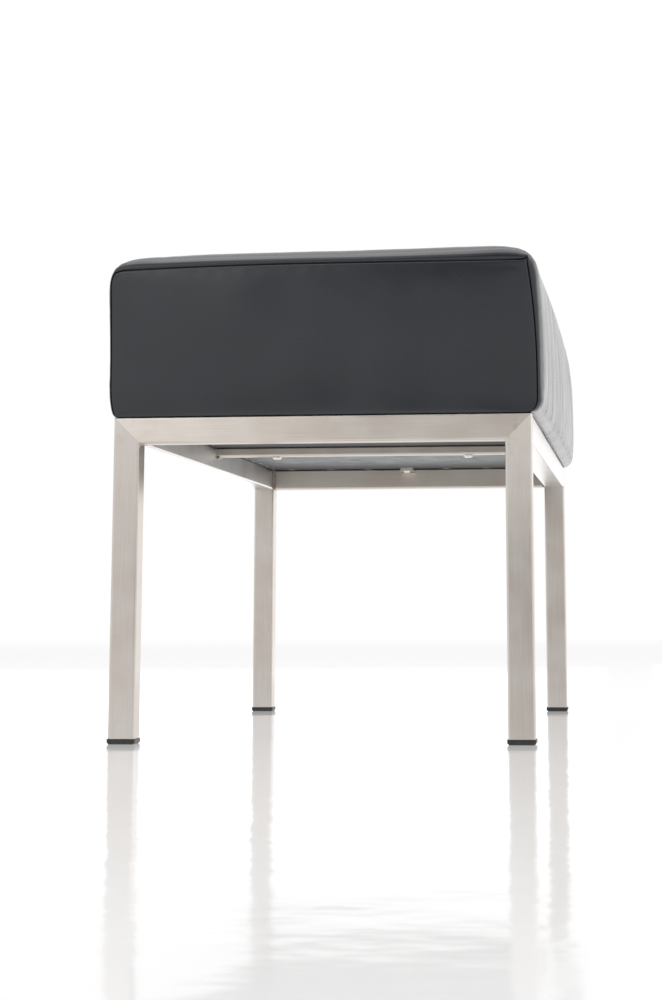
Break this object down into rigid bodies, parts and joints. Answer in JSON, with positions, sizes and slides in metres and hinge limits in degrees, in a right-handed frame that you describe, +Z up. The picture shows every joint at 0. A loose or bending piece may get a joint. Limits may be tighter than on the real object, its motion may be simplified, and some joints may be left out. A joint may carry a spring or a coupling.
{
  "type": "upholstered bench",
  "caption": "Low backless bench: a thick leatherette seat cushion on a slim welded frame of brushed square tube, standing on plastic foot caps.",
  "frame": {"origin": "middle of the footprint on the floor", "axes": "+X along the bench to its right end, +Y across it to the rear long side, +Z up"},
  "size_m": [0.812, 0.4222, 0.4652],
  "materials": {
    "frame_steel": "brushed along each tube",
    "tab_steel": "mill finish plate",
    "weld_steel": "brushed-off weld",
    "screw_zinc": "zinc plated",
    "foot_plastic": "moulded black plastic",
    "underside_cloth": "grey non-woven cloth",
    "board_plywood": "bare plywood",
    "seat_foam": "open-cell foam",
    "leatherette": "fine-grained dark grey leatherette, satin"
  },
  "bodies": {
    "root": {"leg_left_front": "frame_steel", "leg_left_rear": "frame_steel", "leg_right_front": "frame_steel", "leg_right_rear": "frame_steel", "end_rail_left": "frame_steel", "end_rail_right": "frame_steel", "side_rail_front": "frame_steel", "side_rail_rear": "frame_steel", "cross_bar": "frame_steel", "seat_tab_left": "tab_steel", "seat_tab_right": "tab_steel", "frame_welds": "weld_steel", "cross_bar_screws": "screw_zinc", "tab_screws": "screw_zinc", "foot_cap_left_front": "foot_plastic", "foot_cap_left_rear": "foot_plastic", "foot_cap_right_front": "foot_plastic", "foot_cap_right_rear": "foot_plastic", "dust_cover": "underside_cloth", "seat_board": "board_plywood", "foam_core": "seat_foam", "cover_main_panel": "leatherette", "cover_end_panel_left": "leatherette", "cover_end_panel_right": "leatherette"}
  },
  "joints": []
}
